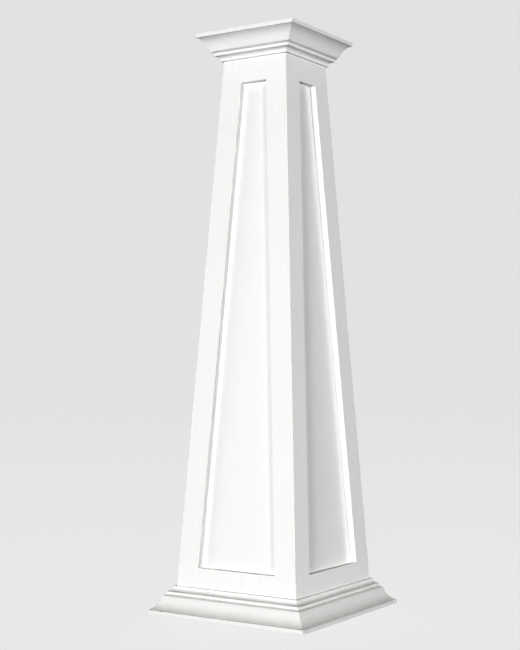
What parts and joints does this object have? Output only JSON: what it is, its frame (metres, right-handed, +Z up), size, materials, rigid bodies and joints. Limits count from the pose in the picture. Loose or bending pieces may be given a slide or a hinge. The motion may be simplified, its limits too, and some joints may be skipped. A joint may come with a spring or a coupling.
{
  "type": "porch column wrap",
  "caption": "Square tapered porch column wrap in white with a tall sunk panel in each face, a stepped base moulding and a matching crown, hollow and open at both ends.",
  "frame": {"origin": "on the floor at the middle of the wrap", "axes": "+Z up along the column, -Y out of the front face, +X out of the right face"},
  "size_m": [0.5732, 0.5732, 1.8288],
  "materials": {
    "face_board": "satin white paint on smooth cellular PVC",
    "panel_sheet": "satin white paint on smooth cellular PVC sheet",
    "moulding": "satin white paint on smooth cellular PVC, mitred and caulked"
  },
  "bodies": {
    "root": {"face_frame_front": "face_board", "face_frame_right": "face_board", "face_frame_back": "face_board", "face_frame_left": "face_board", "recessed_panel_front": "panel_sheet", "recessed_panel_right": "panel_sheet", "recessed_panel_back": "panel_sheet", "recessed_panel_left": "panel_sheet", "base_moulding_front": "moulding", "base_moulding_right": "moulding", "base_moulding_back": "moulding", "base_moulding_left": "moulding", "crown_moulding_front": "moulding", "crown_moulding_right": "moulding", "crown_moulding_back": "moulding", "crown_moulding_left": "moulding"}
  },
  "joints": []
}
